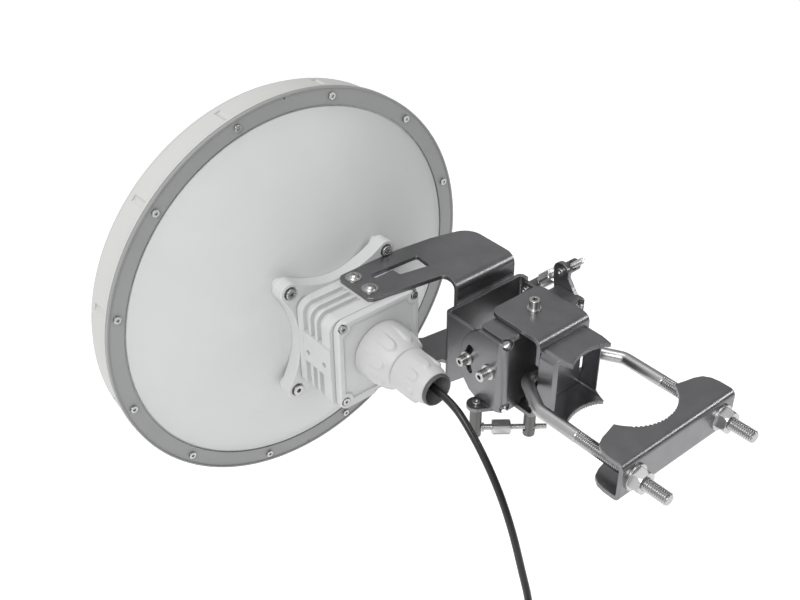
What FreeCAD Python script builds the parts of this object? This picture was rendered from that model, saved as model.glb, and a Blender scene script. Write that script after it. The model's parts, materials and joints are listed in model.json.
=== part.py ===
import FreeCAD, Part

import math
import os

V = FreeCAD.Vector
os.makedirs("parts", exist_ok=True)

# ---------------------------------------------------------------------------
# Frame: millimetres, +Z up, origin on the pole's axis at the clamp's mid
# height.  The antenna looks along -Y and its axis is offset to +X.
# ---------------------------------------------------------------------------

# Antenna and radio, measured from the antenna's own axis and rim plane
AXIS_X = 106.0
AXIS_Z = 2.5
RIM_Y = -319.0
RIM_R = 202.5
DRUM_R = 199.5
DRUM_DEPTH = 42.0
BAND_IN_R = 185.5
RIM_SCREW_R = 193.7
RIM_SCREWS = 12
REFLECTOR_DEPTH = 62.0
REFLECTOR_R = 189.0
SKIN = 2.5
EAR_HALF = 54.4
FLANGE_FACE = 70.0
FLANGE_START = 56.3
BODY_HALF_X = 49.5
BODY_HALF_Z = 45.8
BODY_LOW = 49.6
STEP_ACROSS = 6.0
BOSS_HALF = 46.0
BOSS_FACE_X = 50.2
SIDE_BOSS_LOW = 15.0
SIDE_BOSS_HIGH = 17.0
SIDE_MID = 97.4
SIDE_PITCH = 24.0
SIDE_HOLE_UP = -3.8
ARM_SCREW_ACROSS = -7.3
ARM_MID = 92.5
ARM_PITCH = 23.6
COVER_SPLIT = 119.0
COVER_FACE = 127.0
COVER_SCREW_HALF = 40.4
GLAND_TIP = 205.0
CORD_EXIT = 199.5
CABLE_R = 3.4

# Pole clamp
POLE_R = 44.45
SHEET = 4.0
BOLT_R = 5.8
BOLT_Z = -1.5
LEG_X = 54.5
SHOULDER_X = 34.5
BOLT_TIP_Y = 94.4
JAW_FACE_Y = 60.0
JAW_HALF_X = 70.6
JAW_HIGH = 18.0
JAW_LOW = -20.5
SADDLE_HALF_Z = 34.0

# Bracket base and the swivel body that turns on it
PIVOT_Y = -107.0
BASE_HALF_X = 31.0
BASE_TOP = 43.6
BASE_FRONT_Y = -131.0
BASE_WEB_Y = -69.0
SWIVEL_HALF_X = 53.0
SWIVEL_WEB_Y = -90.5
SWIVEL_BEND_R = 8.0
CAP_RELIEF = (21.8, -88.2)
TAB_TOP = 39.2
TAB_HALF_X = 48.6
TAB_FRONT_Y = -123.5
CHEEK_TOP = 37.0
SHOULDER_R = 4.0
RUN = 0.06
LOCK_RADIUS = 27.0
LOCK_SWING = 20.0

# Arm between the radio and the swivel body
LIMB_OUT = 50.0
LIMB_END_X = 109.0
ARM_WEB_Y = -171.0
ARM_BEND_R = 10.5
CLEVIS_X = 48.6
NECK_LEFT = -39.6
NECK_RIGHT = 33.0
STEP_TOP = 28.5
STEP_LOW = -47.0

# Adjusters: a hexagonal screw between two posts that turn in their ears
ROD_R = 2.9
OPEN_BORE_R = 4.2
HEX_FLATS = 13.8
HEX_LONG = 17.0
POST_R = 5.6
POST_FOOT = 8.0
NECK_R = 2.9
EAR_THICK = 3.6
EAR_INNER_X = 38.0
AZ_NEAR = V(57.4, -116.0, -68.0)
AZ_FAR = V(19.0, -85.0, -68.0)
EL_LOW = V(-61.0, PIVOT_Y - 53.0, 16.0)
EL_HIGH = V(-61.0, PIVOT_Y - 15.0, 54.0)

X = V(1, 0, 0)
Y = V(0, 1, 0)
Z = V(0, 0, 1)


# ---------------------------------------------------------------------------
# Small helpers
# ---------------------------------------------------------------------------

def save(node, *shapes):
    """Write one sub-part; several shapes stay separate solids."""
    shape = shapes[0] if len(shapes) == 1 else Part.makeCompound(list(shapes))
    shape.exportStep("parts/" + node + ".step")
    solids = len(shape.Solids)
    print(f"{node:24s} solids {solids:3d}  volume {shape.Volume / 1000:9.2f} cm3  valid {shape.isValid()}")


def local(across, back, up):
    """A point given from the antenna's axis and rim plane."""
    return V(AXIS_X + across, RIM_Y + back, AXIS_Z + up)


def rod(start, axis, radius, length):
    return Part.makeCylinder(radius, length, start, axis)


def box(low, high):
    size = high.sub(low)
    return Part.makeBox(size.x, size.y, size.z, low)


def antenna_box(low, high):
    return box(local(*low), local(*high))


def ring_y(points, centre_x=AXIS_X, centre_z=AXIS_Z, base_y=RIM_Y):
    """Turn a closed (radius, back) outline about the antenna's axis."""
    path = [V(centre_x + r, base_y + b, centre_z) for r, b in points]
    face = Part.Face(Part.makePolygon(path + [path[0]]))
    return face.revolve(V(centre_x, 0, centre_z), Y, 360)


def plate(points, low, high):
    """Flat outline in X and Y, raised from low to high."""
    path = [V(x, y, low) for x, y in points]
    return Part.Face(Part.makePolygon(path + [path[0]])).extrude(V(0, 0, high - low))


def side_plate(points, low, high):
    """Flat outline in Y and Z, raised along X from low to high."""
    path = [V(low, y, z) for y, z in points]
    return Part.Face(Part.makePolygon(path + [path[0]])).extrude(V(high - low, 0, 0))


def rounded(shape, radius, pick):
    """Round the straight or curved edges that pick() accepts."""
    edges = [edge for edge in shape.Edges if pick(edge)]
    return shape.makeFillet(radius, edges) if edges else shape


def along(edge, axis):
    if edge.Curve.TypeId != "Part::GeomLine":
        return False
    direction = edge.tangentAt(edge.FirstParameter)
    return abs(abs(direction.dot(axis)) - 1.0) < 1e-6


def at(edge, **where):
    point = edge.CenterOfMass
    return all(abs(getattr(point, name) - value) < 0.05 for name, value in where.items())


def fuse(shapes):
    result = shapes[0].multiFuse(shapes[1:]) if len(shapes) > 1 else shapes[0]
    return result.removeSplitter()


def hexagon(centre, axis, across_flats, height, start_angle=0.0):
    """Hexagonal prism standing on centre."""
    radius = across_flats / math.sqrt(3.0)
    rotation = FreeCAD.Rotation(Z, axis)
    points = []
    for k in range(6):
        angle = math.radians(start_angle + 60.0 * k)
        points.append(centre.add(rotation.multVec(V(radius * math.cos(angle), radius * math.sin(angle), 0))))
    face = Part.Face(Part.makePolygon(points + [points[0]]))
    return face.extrude(V(axis).multiply(height))


def cap_screw(seat, out, shank_r, shank, head_r, head, key):
    """Socket screw whose head stands out of seat and whose shank goes in."""
    head_solid = rod(seat, out, head_r, head)
    head_solid = rounded(head_solid, head_r * 0.12, lambda e: e.Closed and
                         abs(e.CenterOfMass.sub(seat).dot(out) - head) < 0.01)
    inward = V(out).multiply(-1.0)
    body = head_solid.fuse(rod(seat, inward, shank_r, shank)).removeSplitter()
    socket = hexagon(seat.add(V(out).multiply(head * 0.45)), out, key, head)
    return body.cut(socket)


def square_points(half_size):
    return [(sx * half_size, sz * half_size) for sx in (-1, 1) for sz in (-1, 1)]


# ---------------------------------------------------------------------------
# Antenna
# ---------------------------------------------------------------------------

def rim_angles():
    return [math.radians(15.0 + 360.0 / RIM_SCREWS * k) for k in range(RIM_SCREWS)]


def rim_point(radius, back, angle):
    return local(radius * math.cos(angle), back, radius * math.sin(angle))


def make_radome():
    """Shallow white drum: domed front, plain wall, seat for the band."""
    wall_in = DRUM_R - 3.0
    front = -DRUM_DEPTH
    outline = [(DRUM_R, -3.2), (DRUM_R, front + 9.0), (DRUM_R - 2.6, front + 3.0), (DRUM_R - 9.0, front)]
    dome = [(DRUM_R - 9.0 - 19.0 * k, front - 7.0 * math.sin(math.pi / 2 * k / 10)) for k in range(1, 10)]
    inner = [(r, b + 3.0) for r, b in reversed(dome)]
    shell = ring_y(outline + dome + [(0.0, front - 7.0), (0.0, front - 4.0)] + inner
                   + [(DRUM_R - 9.5, front + 3.2), (wall_in, front + 10.0), (wall_in, -3.2)])
    lip = ring_y([(RIM_R, -6.4), (RIM_R, -3.2), (BAND_IN_R + 2.0, -3.2), (BAND_IN_R + 2.0, -6.4)])
    shell = shell.fuse(lip).removeSplitter()
    cuts = []
    for angle in rim_angles():
        start = rim_point(DRUM_R + 3.4, front + 14.0, angle)
        cuts.append(rod(start, Y, 5.0, 20.0))
        cuts.append(rod(rim_point(RIM_SCREW_R, -7.0, angle), Y, 2.1, 5.0))
    return shell.cut(Part.makeCompound(cuts))


def make_band():
    """Flat ring that clamps the rim, with a small lip on its outer edge."""
    ring = ring_y([(BAND_IN_R, -0.2), (RIM_R - 1.6, -0.2), (RIM_R - 1.6, 1.0), (RIM_R, 1.0),
                   (RIM_R, -2.4), (BAND_IN_R, -2.4)])
    holes = [rod(rim_point(RIM_SCREW_R, -4.0, angle), Y, 2.6, 8.0) for angle in rim_angles()]
    drains = [rod(rim_point(RIM_R - 3.4, -4.0, math.radians(a)), Y, 0.9, 8.0) for a in (90.0, 270.0)]
    return ring.cut(Part.makeCompound(holes + drains))


def bowl(radius, depth, offset, steps=18):
    """Points of the bowl's section from the rim to the axis."""
    points = []
    for k in range(steps + 1):
        r = radius * (1.0 - k / steps)
        points.append((r, offset + depth * (1.0 - (r / radius) ** 2)))
    return points


def make_reflector():
    """Paraboloid skin with a scalloped rolled edge beside each rim screw."""
    outside = bowl(183.5, REFLECTOR_DEPTH, 0.0)
    inside = [(r, b - SKIN) for r, b in reversed(outside)]
    outline = [(183.5, -3.2)] + outside + inside[:-1] + [(181.0, -3.2)]
    skin = ring_y(outline)
    seat = ring_y([(REFLECTOR_R, -3.2), (REFLECTOR_R, -2.4), (180.5, -2.4), (180.5, -3.2)])
    hole = rod(local(0, 40.0, 0), Y, 21.0, 40.0)
    cuts = [rod(rim_point(RIM_SCREW_R, -8.0, angle), Y, 2.2, 12.0) for angle in rim_angles()]
    return fuse([skin, seat]).cut(Part.makeCompound([hole] + cuts))


def make_rim_screws():
    screws = []
    for angle in rim_angles():
        seat = rim_point(RIM_SCREW_R, -0.2, angle)
        screws.append(cap_screw(seat, Y, 2.0, 5.2, 3.6, 2.6, 3.0))
    return screws


def make_feed():
    tube = ring_y([(20.5, REFLECTOR_DEPTH - 8.0), (20.5, REFLECTOR_DEPTH + 8.0), (9.0, REFLECTOR_DEPTH + 8.0),
                   (9.0, REFLECTOR_DEPTH), (6.5, REFLECTOR_DEPTH), (6.5, -26.0), (9.0, -26.0),
                   (9.0, 40.0), (12.0, REFLECTOR_DEPTH - 8.0)])
    splash = ring_y([(0.0, -30.0), (6.0, -32.5), (28.0, -34.5), (30.0, -36.5), (30.0, -38.0), (0.0, -39.5)])
    cone = ring_y([(0.0, -29.6), (6.2, -32.0), (16.0, -33.1), (12.0, -24.0), (9.2, -16.0), (9.2, -26.2),
                   (0.0, -26.2)])
    return tube, splash, cone


def flange_outline():
    """Square with four rounded ears and side arcs that are tangent to them."""
    waist, ear, ear_r = 48.0, EAR_HALF, 10.0
    # radius of the side arc that touches both ears and passes the waist
    side_r = (ear ** 2 + (waist - ear) ** 2 - ear_r ** 2) / (2.0 * (ear_r - (waist - ear)))
    lean = math.atan2(ear, waist + side_r - ear)
    edges = []
    for quarter in range(4):
        turn = math.radians(90.0 * quarter)

        def place(a, b):
            return local(a * math.cos(turn) - b * math.sin(turn), 0.0, a * math.sin(turn) + b * math.cos(turn))

        touch = (ear - ear_r * math.sin(lean), ear + ear_r * math.cos(lean))
        diag = ear + ear_r / math.sqrt(2.0)
        edges.append(Part.Arc(place(touch[1], touch[0]), place(diag, diag), place(*touch)).toShape())
        edges.append(Part.Arc(place(*touch), place(0.0, waist), place(-touch[0], touch[1])).toShape())
    return Part.Wire(Part.__sortEdges__(edges))


def make_mounting_flange():
    """Lobed adapter between the reflector's back and the radio."""
    solid = Part.Face(flange_outline()).extrude(V(0, FLANGE_FACE - FLANGE_START, 0))
    solid.translate(V(0, FLANGE_START, 0))
    feet = [rod(local(a, 44.0, b), Y, 6.5, FLANGE_START - 43.0) for a, b in square_points(EAR_HALF)]
    solid = fuse([solid] + feet)
    outside = [(r, b + 0.15) for r, b in bowl(183.5, REFLECTOR_DEPTH, 0.0)]
    solid = solid.cut(ring_y([(0.0, 0.0), (184.0, 0.0)] + outside[1:]))
    solid = rounded(solid, 1.2, lambda e: abs(e.CenterOfMass.y - (RIM_Y + FLANGE_FACE)) < 0.01)
    solid = solid.cut(rod(local(0, 40, 0), Y, 21.0, 40.0))
    for a, b in square_points(EAR_HALF):
        solid = solid.cut(rod(local(a, 40.0, b), Y, 2.7, 60.0))
        solid = solid.cut(rod(local(a, FLANGE_FACE - 3.0, b), Y, 6.4, 10.0))
    return solid


def make_flange_screws():
    return [cap_screw(local(a, FLANGE_FACE - 3.0, b), Y, 2.4, 12.0, 5.2, 5.4, 4.4)
            for a, b in square_points(EAR_HALF)]


GROOVES = ((80.0, 87.5), (91.0, 97.0), (100.5, 107.0))


def rounded_block(half, low, high, corner):
    block = antenna_box((-half, low, -half), (half, high, half))
    return rounded(block, corner, lambda e: along(e, Y))


def radio_block(low, high, shrink, corner):
    """The radio's outline: wide in X, with a step down beside the lower limb."""
    wide = BODY_HALF_X - shrink
    tall = BODY_HALF_Z - shrink
    main = antenna_box((-wide, low, -tall), (wide, high, tall))
    main = rounded(main, corner, lambda e: along(e, Y))
    step = antenna_box((STEP_ACROSS + shrink, low, -BODY_LOW + shrink), (wide, high, 0.0))
    step = rounded(step, corner, lambda e: along(e, Y) and at(e, z=AXIS_Z - BODY_LOW + shrink)
                   and e.CenterOfMass.x > AXIS_X + STEP_ACROSS + shrink + 1.0)
    return main.fuse(step).removeSplitter()


def make_radio_housing():
    """Die-cast body: ribs wrap its corners and a boss stands mid-side."""
    body = radio_block(FLANGE_FACE + 1.5, COVER_SPLIT, 0.0, 11.0)
    for low, high in GROOVES:
        inner = radio_block(low, high, 4.2, 9.0)
        body = body.cut(antenna_box((-60.0, low, -60.0), (60.0, high, 60.0)).cut(inner))
    foot = rounded_block(BODY_HALF_Z - 0.1, FLANGE_FACE, FLANGE_FACE + 6.0, 12.0)
    bosses = [antenna_box((-BOSS_FACE_X, 79.0, -SIDE_BOSS_LOW), (BOSS_FACE_X, 121.0, SIDE_BOSS_HIGH)),
              antenna_box((-30.0, 77.0, -BODY_HALF_Z), (5.0, 120.0, BODY_HALF_Z))]
    solid = fuse([body, foot] + bosses)
    solid = solid.cut(antenna_box((-60.0, COVER_SPLIT, -60.0), (60.0, 130.0, 60.0)))
    solid = solid.cut(rounded_block(37.5, FLANGE_FACE + 5.0, COVER_SPLIT + 1.0, 6.0))
    solid = solid.cut(rod(local(0, 60.0, 0), Y, 12.5, 30.0))
    holes = []
    for step in (-0.5, 0.5):
        for sign in (-1, 1):
            side = local(sign * (BOSS_FACE_X + 1.0), SIDE_MID + step * SIDE_PITCH, SIDE_HOLE_UP)
            holes.append(rod(side, V(-sign, 0, 0), 2.5, 8.0))
            edge = local(ARM_SCREW_ACROSS, ARM_MID + step * ARM_PITCH, sign * (BODY_HALF_Z + 1.0))
            holes.append(rod(edge, V(0, 0, -sign), 2.5, 8.0))
    for a, b in square_points(COVER_SCREW_HALF):
        holes.append(rod(local(a, COVER_SPLIT + 1.0, b), V(0, -1, 0), 1.6, 13.0))
    return solid.cut(Part.makeCompound(holes))


def make_rear_cover():
    """Shallow tray with a raised rim, a sunk face and four screw lugs."""
    cover = rounded_block(BOSS_HALF, COVER_SPLIT + 0.8, COVER_FACE, 11.0)
    skirt = antenna_box((STEP_ACROSS, COVER_SPLIT + 0.8, -BODY_LOW), (BOSS_HALF, COVER_FACE, -20.0))
    skirt = rounded(skirt, 9.0, lambda e: along(e, Y) and at(e, x=AXIS_X + BOSS_HALF, z=AXIS_Z - BODY_LOW))
    cover = fuse([cover, skirt])
    cover = rounded(cover, 2.0, lambda e: abs(e.CenterOfMass.y - (RIM_Y + COVER_FACE)) < 0.01)
    recess = rounded_block(40.5, COVER_FACE - 1.4, COVER_FACE + 1.0, 9.0)
    for a, b in square_points(COVER_SCREW_HALF):
        recess = recess.cut(rod(local(a, COVER_FACE - 3.0, b), Y, 8.6, 6.0))
    cover = cover.cut(recess)
    cover = cover.cut(rounded_block(37.5, COVER_SPLIT, COVER_FACE - 4.4, 6.0))
    cover = cover.cut(rod(local(0, COVER_SPLIT, 0), Y, 14.2, 20.0))
    for a, b in square_points(COVER_SCREW_HALF):
        cover = cover.cut(rod(local(a, COVER_SPLIT, b), Y, 1.9, 20.0))
        cover = cover.cut(rod(local(a, COVER_FACE - 2.6, b), Y, 4.4, 10.0))
    return cover


def make_cover_screws():
    return [cap_screw(local(a, COVER_FACE - 2.6, b), Y, 1.5, 14.0, 3.7, 3.4, 3.0)
            for a, b in square_points(COVER_SCREW_HALF)]


def make_gasket():
    ring = rounded_block(43.0, COVER_SPLIT, COVER_SPLIT + 0.8, 8.0).cut(
        rounded_block(38.5, COVER_SPLIT - 1.0, COVER_SPLIT + 2.0, 6.5))
    for a, b in square_points(COVER_SCREW_HALF):
        ring = ring.cut(rod(local(a, COVER_SPLIT - 1.0, b), Y, 1.7, 4.0))
    return ring


def make_electronics():
    rf_block = rounded_block(26.0, 75.0, 88.0, 4.0)
    waveguide = rod(local(0, FLANGE_FACE - 8.0 + 8.3, 0), Y, 12.3, 5.0)
    rf_block = rf_block.fuse(waveguide).removeSplitter()
    pad = rounded_block(24.0, 88.0, 90.0, 3.0)
    board = rounded_block(36.5, 90.0, 91.6, 3.0)
    jack = antenna_box((-8.2, 91.6, -7.0), (8.2, 107.0, 7.0))
    jack = jack.cut(antenna_box((-6.2, 95.0, -5.0), (6.2, 108.0, 4.0)))
    plug = antenna_box((-5.9, 95.4, -4.2), (5.9, 116.0, 3.8))
    plug = rounded(plug, 1.0, lambda e: along(e, Y))
    chips = [rounded_block(7.0, 91.6, 93.4, 0.8) for _ in range(2)]
    chips[0].translate(V(22.0, 0, 20.0))
    chips[1].translate(V(-22.0, 0, -20.0))
    cans = [rounded_block(9.0, 91.6, 95.0, 1.5) for _ in range(2)]
    cans[0].translate(V(-21.0, 0, 20.0))
    cans[1].translate(V(21.0, 0, -20.0))
    return rf_block, pad, fuse([board] + chips + cans), jack, plug


# ---------------------------------------------------------------------------
# Cable gland and cord
# ---------------------------------------------------------------------------

SEAM = 164.0
GLAND_BASE_R = 28.8
SEAM_R = 20.6
NOSE_R = 16.2


def make_gland_dome():
    """Large shroud that screws over the gland's neck."""
    outline = [(14.4, COVER_FACE - 1.2), (GLAND_BASE_R, COVER_FACE - 1.2), (GLAND_BASE_R, COVER_FACE + 6.0)]
    for k in range(1, 9):
        part = k / 8.0
        radius = GLAND_BASE_R - (GLAND_BASE_R - SEAM_R) * part ** 1.6
        outline.append((radius, COVER_FACE + 6.0 + (SEAM - COVER_FACE - 6.0) * part))
    outline += [(14.4, SEAM)]
    dome = ring_y(outline)
    cuts = []
    for k in range(8):
        angle = math.radians(22.5 + 45.0 * k)
        centre = local(33.6 * math.cos(angle), COVER_FACE + 8.0, 33.6 * math.sin(angle))
        lean = V(-math.cos(angle) * 0.24, 1.0, -math.sin(angle) * 0.24)
        lean.normalize()
        cuts.append(rod(centre, lean, 7.0, 40.0))
    return dome.cut(Part.makeCompound(cuts))


def make_gland_nut():
    """Smaller tapered nut that squeezes the seal."""
    outline = [(9.4, SEAM + 0.3), (SEAM_R, SEAM + 0.3), (SEAM_R, SEAM + 3.0)]
    for k in range(1, 7):
        part = k / 6.0
        radius = SEAM_R - (SEAM_R - NOSE_R) * part ** 1.6
        outline.append((radius, SEAM + 3.0 + (GLAND_TIP - 6.2 - SEAM) * part))
    outline += [(9.4, GLAND_TIP - 3.2)]
    nut = ring_y(outline)
    cuts = []
    for k in range(8):
        angle = math.radians(45.0 * k)
        centre = local(24.4 * math.cos(angle), SEAM + 5.0, 24.4 * math.sin(angle))
        lean = V(-math.cos(angle) * 0.14, 1.0, -math.sin(angle) * 0.14)
        lean.normalize()
        cuts.append(rod(centre, lean, 4.6, 26.0))
    return nut.cut(Part.makeCompound(cuts))


def make_gland_core():
    neck = ring_y([(7.0, COVER_SPLIT + 2.0), (16.0, COVER_SPLIT + 2.0), (16.0, COVER_FACE - 4.4),
                   (14.1, COVER_FACE - 4.4), (14.1, SEAM), (9.2, SEAM), (9.2, SEAM + 16.0), (7.0, SEAM + 16.0)])
    seal = ring_y([(CABLE_R, SEAM - 4.0), (6.9, SEAM - 4.0), (6.9, SEAM + 16.0), (CABLE_R, SEAM + 16.0)])
    rim = NOSE_R - 0.1
    boot = ring_y([(CABLE_R, SEAM + 16.3), (9.2, SEAM + 16.3), (9.2, GLAND_TIP - 3.0), (rim, GLAND_TIP - 3.0),
                   (rim - 0.2, GLAND_TIP - 0.8), (rim - 1.2, GLAND_TIP), (rim - 4.0, GLAND_TIP),
                   (CABLE_R + 4.6, CORD_EXIT + 0.6), (CABLE_R, CORD_EXIT)])
    inside = rod(local(0, 116.0, 0), Y, CABLE_R, CORD_EXIT - 116.0)
    return neck, seal, boot, inside


# Cord's route in Y and Z: straight out, over the bend and down past the
# clamp to the tied coil.
CORD_X = AXIS_X
CORD_ROUTE = (
    (RIM_Y + CORD_EXIT, AXIS_Z),
    (-95.5, 1.6),
    (-71.5, -15.5),
    (-50.0, -37.5),
    (-31.5, -63.0),
    (-15.5, -94.0),
    (-2.0, -130.0),
    (8.0, -155.0),
    (12.8, -186.0),
    (14.0, -212.0),
)
COIL_X = CORD_X + 17.4
COIL_Y = 53.0
COIL_Z = -216.0
COIL_OUT_R = 42.2
COIL_IN_R = 34.0
COIL_HALF = 21.0
TAIL_ROUTE = (
    (COIL_X + 17.4, 14.6, -219.0),
    (COIL_X + 17.8, 14.0, -246.0),
    (COIL_X + 18.8, 15.4, -272.0),
    (COIL_X + 18.8, 15.4, -294.0),
)


def route_points():
    return [V(CORD_X, y, z) for y, z in CORD_ROUTE]


def arc_path(points):
    """Straight runs joined by tangent arcs, each as large as its runs allow."""
    edges = []
    radii = []
    cursor = points[0]
    for before, corner, after in zip(points, points[1:], points[2:]):
        back = before.sub(corner)
        ahead = after.sub(corner)
        turn = math.pi - back.getAngle(ahead)
        reach = 0.45 * min(back.Length, ahead.Length)
        radius = reach / math.tan(turn / 2.0)
        radii.append(radius)
        back.normalize()
        ahead.normalize()
        start = corner.add(V(back).multiply(reach))
        end = corner.add(V(ahead).multiply(reach))
        bisector = back.add(ahead)
        bisector.normalize()
        middle = corner.add(bisector.multiply(radius / math.cos(turn / 2.0) - radius))
        edges.append(Part.LineSegment(cursor, start).toShape())
        edges.append(Part.Arc(start, middle, end).toShape())
        cursor = end
    edges.append(Part.LineSegment(cursor, points[-1]).toShape())
    return Part.Wire(edges), radii


def make_cord():
    path, radii = arc_path(route_points())
    first = route_points()[1].sub(route_points()[0])
    section = Part.Wire([Part.Circle(route_points()[0], first, CABLE_R).toShape()])
    tube = path.makePipeShell([section], True, False)
    ratio = tube.Volume / (math.pi * CABLE_R ** 2 * path.Length)
    print("cord bend radii", [round(r, 1) for r in radii])
    print("cord length", round(path.Length, 1), "volume over section times length", round(ratio, 4))
    return tube


def make_coil():
    """The wound cable as one ring, and the strap that ties it."""
    ring = rod(V(COIL_X - COIL_HALF, COIL_Y, COIL_Z), X, COIL_OUT_R, 2.0 * COIL_HALF)
    ring = ring.cut(rod(V(COIL_X - COIL_HALF - 1.0, COIL_Y, COIL_Z), X, COIL_IN_R, 2.0 * COIL_HALF + 2.0))
    ring = rounded(ring, 4.0, lambda e: e.Closed)
    top = COIL_Z + (COIL_OUT_R + COIL_IN_R) / 2.0
    tall = (COIL_OUT_R - COIL_IN_R) / 2.0
    out = box(V(COIL_X - COIL_HALF - 1.7, COIL_Y - 5.0, top - tall - 1.7),
              V(COIL_X + COIL_HALF + 1.7, COIL_Y + 5.0, top + tall + 1.7))
    hole = box(V(COIL_X - COIL_HALF - 0.2, COIL_Y - 6.0, top - tall - 0.4),
               V(COIL_X + COIL_HALF + 0.2, COIL_Y + 6.0, top + tall + 0.2))
    return ring, out.cut(hole)


def make_tail():
    """Short tail below the coil, its plug and the plug's boot."""
    points = [V(x, y, z) for x, y, z in TAIL_ROUTE]
    path, radii = arc_path(points)
    section = Part.Wire([Part.Circle(points[0], points[1].sub(points[0]), CABLE_R).toShape()])
    tail = path.makePipeShell([section], True, False)
    print("tail bend radii", [round(r, 1) for r in radii], "length", round(path.Length, 1))
    end = points[-1]
    boot = Part.makeCone(CABLE_R + 1.6, 6.0, 12.0, end.add(V(0, 0, 6.0)), V(0, 0, -1))
    boot = boot.cut(rod(end.add(V(0, 0, 7.0)), V(0, 0, -1), CABLE_R, 7.0))
    plug = box(V(end.x - 5.9, end.y - 4.1, end.z - 27.0), V(end.x + 5.9, end.y + 4.1, end.z - 6.0))
    clip = box(V(end.x - 2.6, end.y - 6.0, end.z - 21.0), V(end.x + 2.6, end.y - 4.1, end.z - 9.0))
    return tail, fuse([plug, clip]), boot


# ---------------------------------------------------------------------------
# Arm
# ---------------------------------------------------------------------------

def limb_outline(sign):
    """Outline of each flat limb, from its outer end to the fold."""
    start = RIM_Y + FLANGE_FACE + 0.3
    far = [(41.0, start), (2.0, -243.8), (NECK_LEFT, -233.0)]
    if sign < 0:
        far = [(62.0, start), (26.0, -225.2), (-3.0, -221.5), (NECK_LEFT, -217.0)]
    return [(LIMB_END_X, start)] + far + [
        (NECK_LEFT, ARM_WEB_Y), (NECK_RIGHT, ARM_WEB_Y), (NECK_RIGHT, -188.8), (68.6, -194.8),
        (LIMB_END_X - 3.6, -201.2), (LIMB_END_X, -204.8)]


def make_limb(sign):
    """One flat limb with its rounded corners, screw holes and reliefs."""
    low, high = sorted((sign * (LIMB_OUT - SHEET), sign * LIMB_OUT))
    low, high = AXIS_Z + low, AXIS_Z + high
    limb = plate(limb_outline(sign), low, high)
    limb = rounded(limb, 6.0, lambda e: along(e, Z) and at(e, x=LIMB_END_X, y=RIM_Y + FLANGE_FACE + 0.3))
    limb = rounded(limb, 20.0, lambda e: along(e, Z) and e.CenterOfMass.x < NECK_LEFT + 0.1
                   and e.CenterOfMass.y < -210.0)
    limb = rounded(limb, 6.0, lambda e: along(e, Z) and at(e, x=NECK_RIGHT, y=-188.8))
    for step in (-0.5, 0.5):
        y = RIM_Y + ARM_MID + step * ARM_PITCH
        limb = limb.cut(rod(V(AXIS_X + ARM_SCREW_ACROSS, y, low - 1), Z, 2.8, SHEET + 2))
    limb = limb.cut(rod(local(-EAR_HALF, FLANGE_FACE - 4.0, sign * EAR_HALF), Y, 5.6, 8.0))
    if sign > 0:
        slot = plate([(84.5, -232.0), (84.5, -225.0), (63.5, -225.0), (63.5, -215.0), (32.6, -208.6),
                      (31.4, -229.0)], low - 1, high + 1)
        limb = limb.cut(rounded(slot, 2.4, lambda e: along(e, Z)))
    return limb


def make_clevis():
    """Bent U on the arm's web whose cheeks carry the pivot."""
    p = PIVOT_Y
    inner_x = CLEVIS_X - SHEET
    inner_y = ARM_WEB_Y + SHEET
    u_out = box(V(-CLEVIS_X, ARM_WEB_Y, -60.0), V(CLEVIS_X, -60.0, 60.0))
    u_out = rounded(u_out, 6.0, lambda e: along(e, Z) and at(e, y=ARM_WEB_Y))
    u_in = box(V(-inner_x, inner_y, -61.0), V(inner_x, -59.0, 61.0))
    u_in = rounded(u_in, 2.0, lambda e: along(e, Z) and at(e, y=inner_y))
    side = side_plate([(ARM_WEB_Y - 1.0, STEP_TOP), (p - 27.0, STEP_TOP), (p - 19.0, 23.0), (p, 9.5),
                       (p, -9.5), (p - 32.0, -27.0), (p - 53.0, STEP_LOW), (ARM_WEB_Y - 1.0, STEP_LOW)],
                      -60.0, 60.0)
    side = side.fuse(rod(V(-60.0, p, 0), X, 9.5, 120.0)).removeSplitter()
    return u_out.cut(u_in).common(side)


def make_mount_arm():
    """C-shaped sheet arm: two limbs, a web and a clevis welded on the web."""
    neck = box(V(NECK_LEFT, ARM_WEB_Y - SHEET, AXIS_Z - LIMB_OUT), V(NECK_RIGHT, ARM_WEB_Y, AXIS_Z + LIMB_OUT))
    arm = fuse([make_limb(1), make_limb(-1), neck])
    for depth in (0.0, SHEET):
        arm = rounded(arm, ARM_BEND_R - depth,
                      lambda e: along(e, X) and abs(e.CenterOfMass.y - ARM_WEB_Y + depth) < 0.1
                      and abs(abs(e.CenterOfMass.z - AXIS_Z) - LIMB_OUT + depth) < 0.1)
    arm = fuse([arm, make_clevis()])
    cuts = []
    for sign in (1, -1):
        start = V(sign * (CLEVIS_X + 1.0), PIVOT_Y, 0)
        cuts.append(rod(start, V(-sign, 0, 0), 5.6, SHEET + 2))
        cuts.append(rod(start.add(V(0, -LOCK_RADIUS, 0)), V(-sign, 0, 0), 3.05, SHEET + 2))
    cuts.append(rod(V(-CLEVIS_X - 1.0, EL_LOW.y, EL_LOW.z), X, NECK_R + RUN, SHEET + 2))
    trim = side_plate([(ARM_WEB_Y + 10.0, 40.0), (ARM_WEB_Y + 10.0, STEP_TOP - 4.0),
                       (PIVOT_Y - 20.0, STEP_TOP - 4.0), (PIVOT_Y - 12.0, 40.0)],
                      CLEVIS_X - SHEET - 1.0, CLEVIS_X + 1.0)
    return arm.cut(Part.makeCompound(cuts)).cut(trim.mirror(V(0, 0, 0), X))


def make_arm_screws():
    screws = []
    for sign in (1, -1):
        for step in (-0.5, 0.5):
            y = RIM_Y + ARM_MID + step * ARM_PITCH
            seat = V(AXIS_X + ARM_SCREW_ACROSS, y, AXIS_Z + sign * LIMB_OUT)
            screws.append(button_screw(seat, V(0, 0, sign), 2.4, 10.0, 6.2, 3.8, 3.2))
    return screws


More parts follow.
